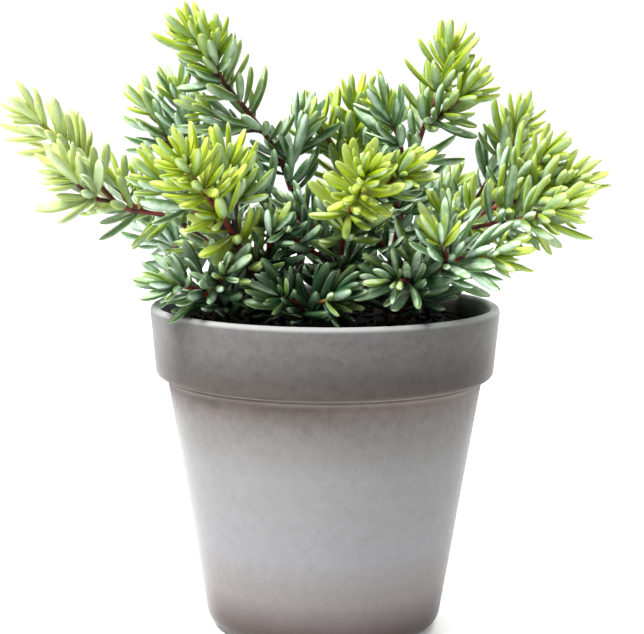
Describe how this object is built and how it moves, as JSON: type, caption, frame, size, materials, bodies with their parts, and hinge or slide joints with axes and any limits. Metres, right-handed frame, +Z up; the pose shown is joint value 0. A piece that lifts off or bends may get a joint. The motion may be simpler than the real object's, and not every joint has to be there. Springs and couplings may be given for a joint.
{
  "type": "potted sedum",
  "caption": "Potted sedum: fleshy-leaved branching stems with bright tips, standing in dark potting soil in a grey banded flower pot.",
  "frame": {"origin": "middle of the pot's flat base, on the surface that it stands on", "axes": "+Z up along the pot's axis, -Y towards the front, the side that the picture shows, +X to the right seen from the front"},
  "size_m": [0.2009, 0.1493, 0.2146],
  "materials": {
    "weathered_clay": "matte",
    "potting_soil": "matte",
    "sedum_foliage": "satin"
  },
  "bodies": {
    "root": {"pot": "weathered_clay", "soil": "potting_soil", "stem_far_left": "sedum_foliage", "stem_top_left": "sedum_foliage", "stem_left_back": "sedum_foliage", "stem_front_left": "sedum_foliage", "stem_middle_back": "sedum_foliage", "stem_middle_front": "sedum_foliage", "stem_top_right": "sedum_foliage", "stem_right": "sedum_foliage", "stem_far_right": "sedum_foliage", "stem_low_right": "sedum_foliage", "stem_low_left": "sedum_foliage", "stem_low_front": "sedum_foliage", "stem_back_left": "sedum_foliage", "stem_back": "sedum_foliage", "stem_back_right": "sedum_foliage", "stem_left": "sedum_foliage"}
  },
  "joints": []
}
